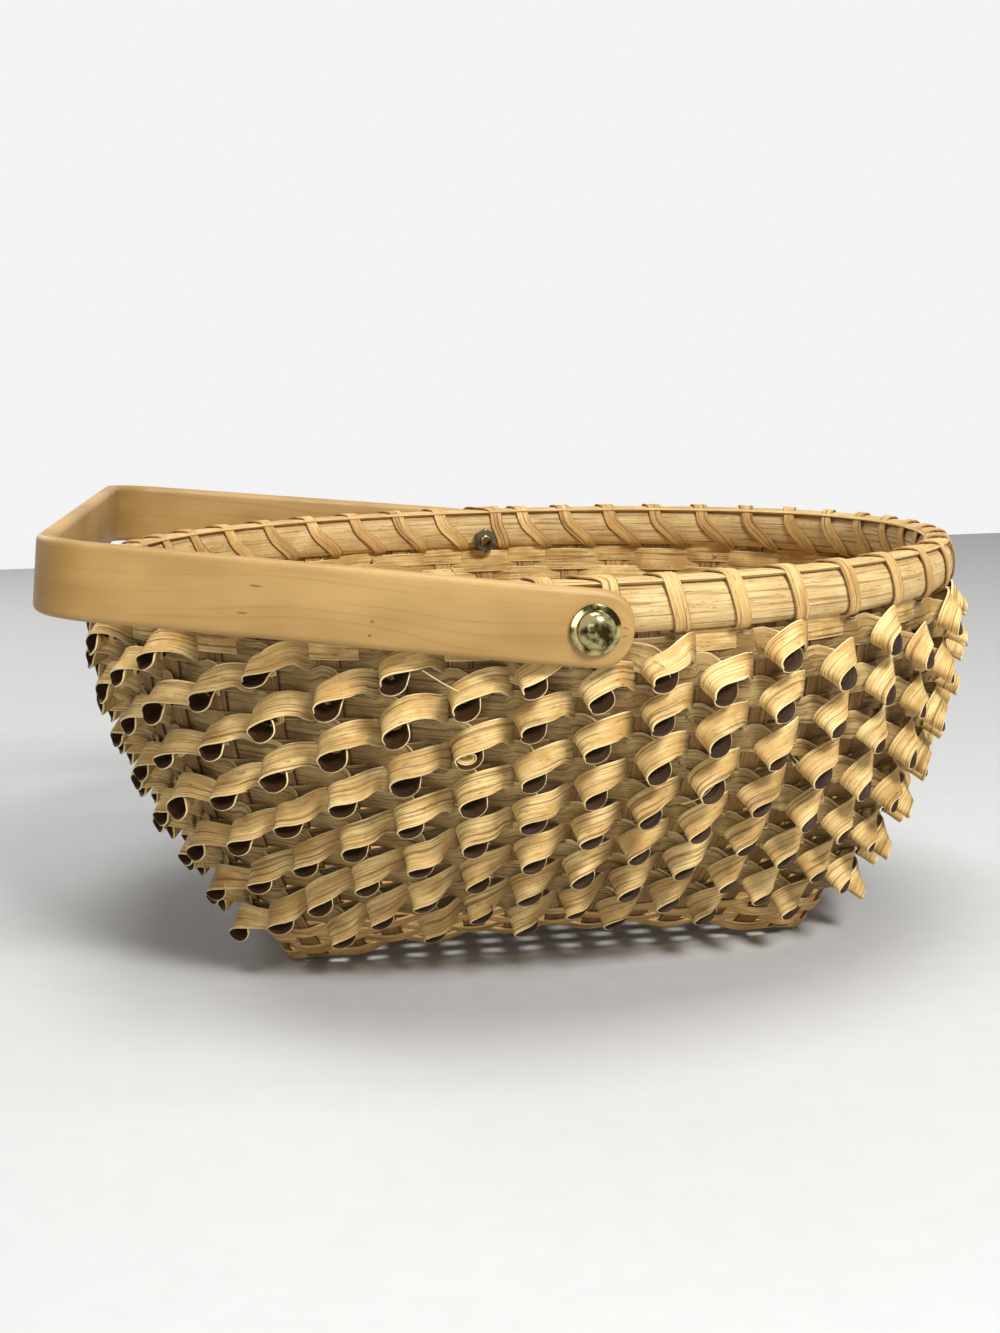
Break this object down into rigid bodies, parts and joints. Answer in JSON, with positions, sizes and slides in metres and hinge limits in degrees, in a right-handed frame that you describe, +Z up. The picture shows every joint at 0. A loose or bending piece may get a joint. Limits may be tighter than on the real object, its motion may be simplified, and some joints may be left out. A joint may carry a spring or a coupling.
{
  "type": "ash splint basket",
  "caption": "Open oval-topped splint basket on a rectangular base, with curled weavers, a lashed rim and a bent wooden swing handle.",
  "frame": {"origin": "on the table, under the middle of the whole part's bounding box with the handle folded down; the basket's own middle and the handle's pivot line lie 1.9 mm further along +X", "axes": "+Z up; +X along the basket's long axis, away from the side to which the handle is folded; the handle's two bolts lie along Y"},
  "size_m": [0.3462, 0.3284, 0.1703],
  "materials": {
    "splint": "matte",
    "foot_weaver": "matte",
    "weaver": "matte",
    "hoop": "matte",
    "filler": "matte",
    "lashing": "matte",
    "handle": "satin",
    "plated_steel": "polished",
    "nut": "satin"
  },
  "bodies": {
    "basket": {"short_splint_1": "splint", "short_splint_2": "splint", "short_splint_3": "splint", "short_splint_4": "splint", "short_splint_5": "splint", "short_splint_6": "splint", "short_splint_7": "splint", "short_splint_8": "splint", "short_splint_9": "splint", "short_splint_10": "splint", "short_splint_11": "splint", "short_splint_12": "splint", "short_splint_13": "splint", "long_splint_1": "splint", "long_splint_2": "splint", "long_splint_3": "splint", "long_splint_4": "splint", "long_splint_5": "splint", "long_splint_6": "splint", "long_splint_7": "splint", "long_splint_8": "splint", "long_splint_9": "splint", "foot_weaver_1": "foot_weaver", "foot_weaver_2": "foot_weaver", "foot_weaver_3": "foot_weaver", "foot_weaver_4": "foot_weaver", "curl_weaver_1": "weaver", "curl_weaver_2": "weaver", "curl_weaver_3": "weaver", "curl_weaver_4": "weaver", "curl_weaver_5": "weaver", "curl_weaver_6": "weaver", "curl_weaver_7": "weaver", "curl_weaver_8": "weaver", "curl_weaver_9": "weaver", "curl_weaver_10": "weaver", "curl_weaver_11": "weaver", "curl_weaver_12": "weaver", "curl_weaver_13": "weaver", "outer_rim_hoop": "hoop", "inner_rim_hoop": "hoop", "rim_filler": "filler", "rim_lashing": "lashing", "near_pivot_bolt": "plated_steel", "near_pivot_washer": "plated_steel", "near_spacer_washer": "plated_steel", "near_pivot_nut": "nut", "far_pivot_bolt": "plated_steel", "far_pivot_washer": "plated_steel", "far_spacer_washer": "plated_steel", "far_pivot_nut": "nut"},
    "handle": {"swing_handle": "handle"}
  },
  "joints": [
    {"name": "handle_hinge", "type": "hinge", "parent": "basket", "child": "handle", "pos_m": [0.00189, 0, 0.138], "axis": [0, 1, 0], "range_deg": [0, 166.8]}
  ]
}
